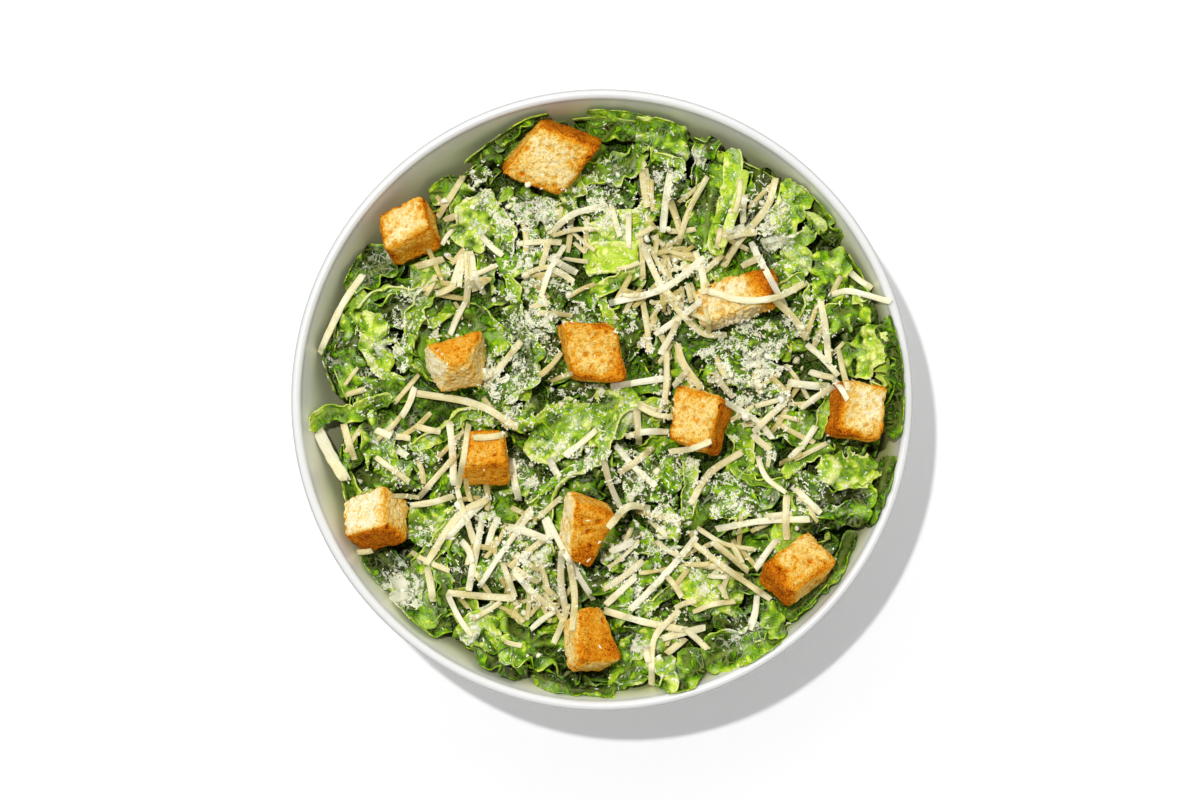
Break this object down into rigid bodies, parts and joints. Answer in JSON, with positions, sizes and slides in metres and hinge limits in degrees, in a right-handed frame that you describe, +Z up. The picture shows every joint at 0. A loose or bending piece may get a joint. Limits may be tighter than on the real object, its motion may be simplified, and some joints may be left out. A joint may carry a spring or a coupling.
{
  "type": "caesar salad in a bowl",
  "caption": "Dressed romaine salad with toasted bread croutons and shaved hard cheese, heaped in a round white bowl on a foot ring.",
  "frame": {"origin": "middle of the foot ring, on the surface the bowl stands on", "axes": "+Z up through the middle of the bowl; +X to the right and +Y to the top of the bowl as seen from above"},
  "size_m": [0.2, 0.2, 0.0747],
  "materials": {
    "bowl_glaze": "smooth satin white glaze",
    "leaf": "moist crinkled green leaf",
    "toasted_bread": "dry porous crumb with a browned crust",
    "hard_cheese": "satin ivory shavings and grated grains",
    "dressing": "glossy cream"
  },
  "bodies": {
    "root": {"bowl": "bowl_glaze", "salad": "leaf", "crouton_01": "toasted_bread", "crouton_02": "toasted_bread", "crouton_03": "toasted_bread", "crouton_04": "toasted_bread", "crouton_05": "toasted_bread", "crouton_06": "toasted_bread", "crouton_07": "toasted_bread", "crouton_08": "toasted_bread", "crouton_09": "toasted_bread", "crouton_10": "toasted_bread", "crouton_11": "toasted_bread", "crouton_12": "toasted_bread"}
  },
  "joints": []
}
